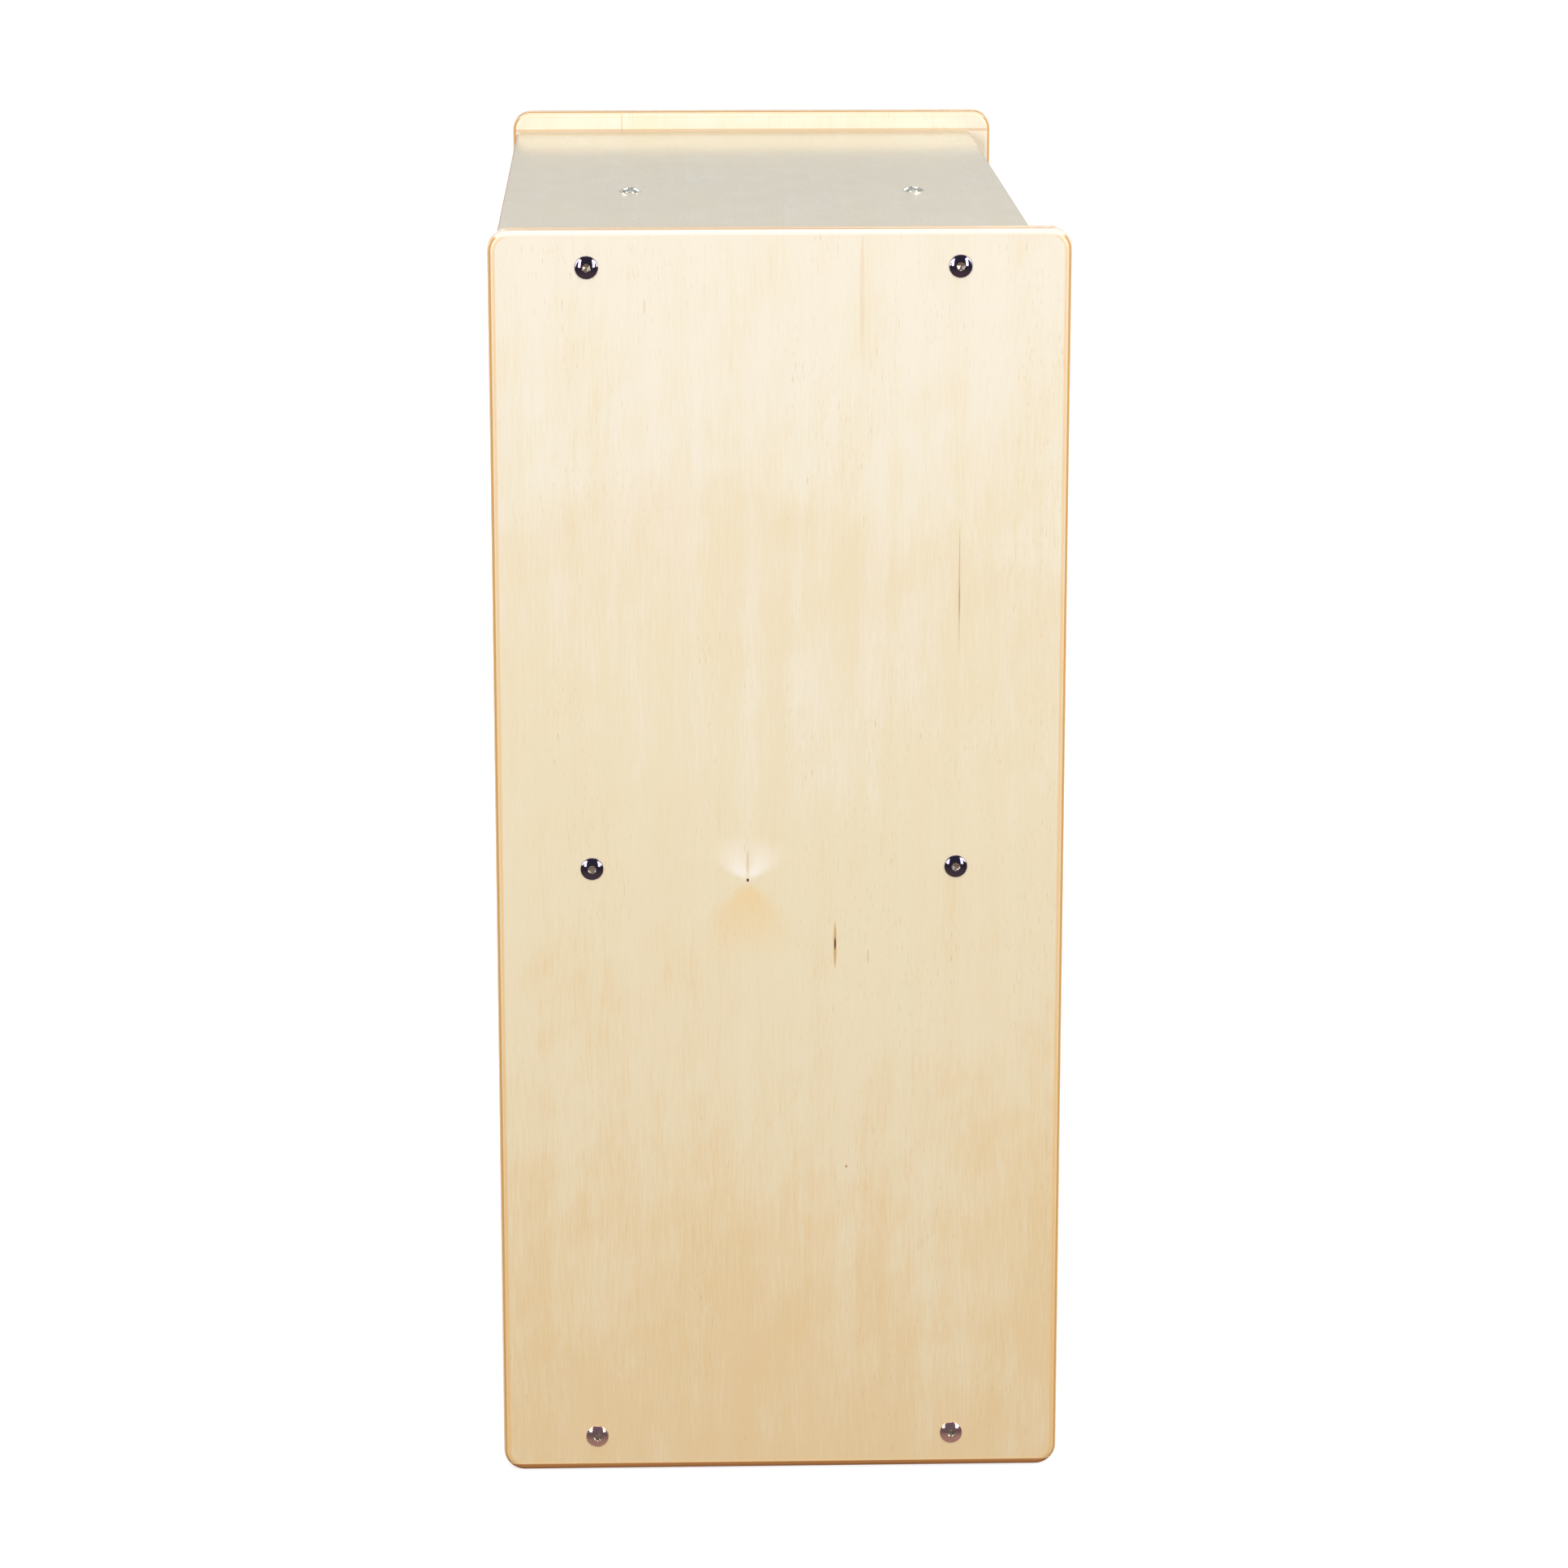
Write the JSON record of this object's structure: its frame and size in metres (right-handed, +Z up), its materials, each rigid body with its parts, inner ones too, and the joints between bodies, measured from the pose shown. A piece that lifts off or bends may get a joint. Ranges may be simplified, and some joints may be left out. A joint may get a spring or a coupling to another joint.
{
  "type": "open plywood shelf unit",
  "caption": "Free-standing open storage shelf of bolted birch plywood: tall rounded side panels, a recessed top, a middle shelf, an upright partition and a grooved-in back.",
  "frame": {"origin": "on the floor, under the middle of the unit's bounding box", "axes": "+Z up; +X along the length, from the left side panel to the right one; +Y towards the closed back, so the open front faces -Y"},
  "size_m": [0.8056, 0.4, 0.9],
  "materials": {
    "birch_plywood": "clear satin lacquer on a pale birch veneer",
    "back_plywood": "clear satin lacquer on thin birch plywood",
    "bolt_nickel": "bright nickel plate",
    "nut_zinc": "zinc plate",
    "dowel_beech": "raw beech"
  },
  "bodies": {
    "root": {"left_side_panel": "birch_plywood", "right_side_panel": "birch_plywood", "top_board": "birch_plywood", "bottom_board": "birch_plywood", "middle_shelf": "birch_plywood", "upper_partition": "birch_plywood", "lower_partition": "birch_plywood", "back_panel": "back_plywood", "left_bottom_front_bolt": "bolt_nickel", "left_bottom_rear_bolt": "bolt_nickel", "left_middle_front_bolt": "bolt_nickel", "left_middle_rear_bolt": "bolt_nickel", "left_top_front_bolt": "bolt_nickel", "left_top_rear_bolt": "bolt_nickel", "lower_partition_front_bolt": "bolt_nickel", "lower_partition_rear_bolt": "bolt_nickel", "right_bottom_front_bolt": "bolt_nickel", "right_bottom_rear_bolt": "bolt_nickel", "right_middle_front_bolt": "bolt_nickel", "right_middle_rear_bolt": "bolt_nickel", "right_top_front_bolt": "bolt_nickel", "right_top_rear_bolt": "bolt_nickel", "upper_partition_front_bolt": "bolt_nickel", "upper_partition_rear_bolt": "bolt_nickel", "left_bottom_front_nut": "nut_zinc", "left_bottom_rear_nut": "nut_zinc", "left_middle_front_nut": "nut_zinc", "left_middle_rear_nut": "nut_zinc", "left_top_front_nut": "nut_zinc", "left_top_rear_nut": "nut_zinc", "lower_partition_front_nut": "nut_zinc", "lower_partition_rear_nut": "nut_zinc", "right_bottom_front_nut": "nut_zinc", "right_bottom_rear_nut": "nut_zinc", "right_middle_front_nut": "nut_zinc", "right_middle_rear_nut": "nut_zinc", "right_top_front_nut": "nut_zinc", "right_top_rear_nut": "nut_zinc", "upper_partition_front_nut": "nut_zinc", "upper_partition_rear_nut": "nut_zinc", "left_bottom_dowel": "dowel_beech", "left_middle_dowel": "dowel_beech", "left_top_dowel": "dowel_beech", "right_bottom_dowel": "dowel_beech", "right_middle_dowel": "dowel_beech", "right_top_dowel": "dowel_beech", "shelf_front_dowel": "dowel_beech", "shelf_rear_dowel": "dowel_beech"}
  },
  "joints": []
}
